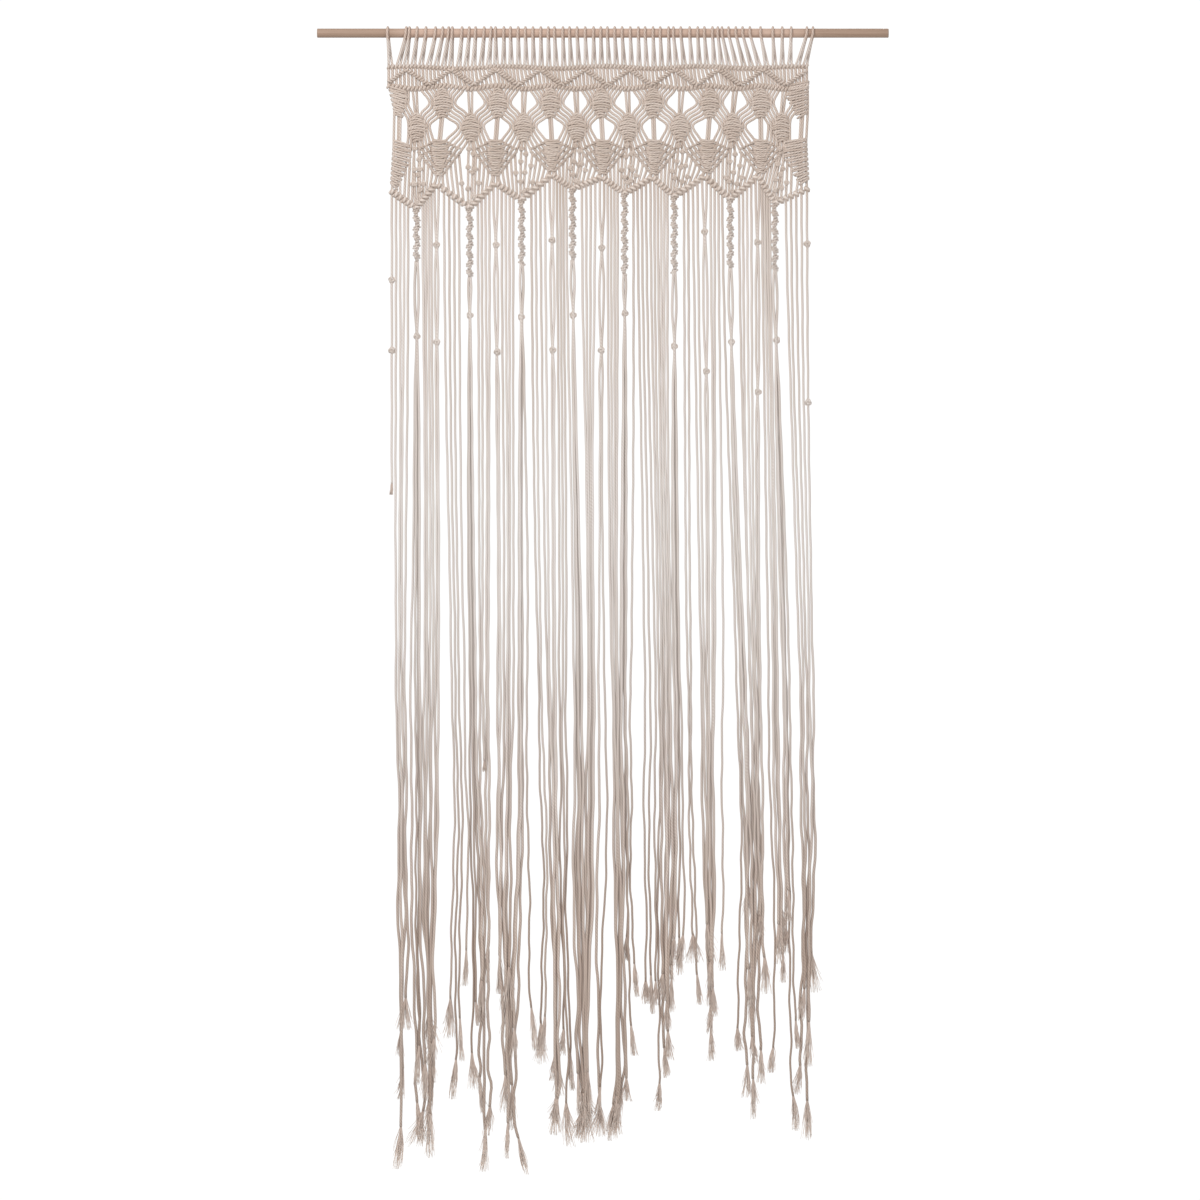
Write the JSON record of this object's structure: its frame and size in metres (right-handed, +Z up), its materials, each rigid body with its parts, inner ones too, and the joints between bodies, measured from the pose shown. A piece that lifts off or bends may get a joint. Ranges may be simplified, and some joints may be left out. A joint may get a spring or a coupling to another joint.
{
  "type": "macrame curtain on a wooden rod",
  "caption": "Knotted cotton macrame curtain with leaf knots, a zigzag edge, spiral sinnets and long frayed fringe, looped over a plain round wooden rod.",
  "frame": {"origin": "middle of the rod's axis, where the rod is held up", "axes": "+X along the rod to the viewer's right, +Y away from the viewer, +Z up"},
  "size_m": [1, 0.0266, 2.0117],
  "materials": {
    "wood": "plain sanded wood",
    "cotton_cord": "twisted natural cotton cord"
  },
  "bodies": {
    "root": {"rod": "wood", "knotted_panel": "cotton_cord", "fringe": "cotton_cord"}
  },
  "joints": []
}
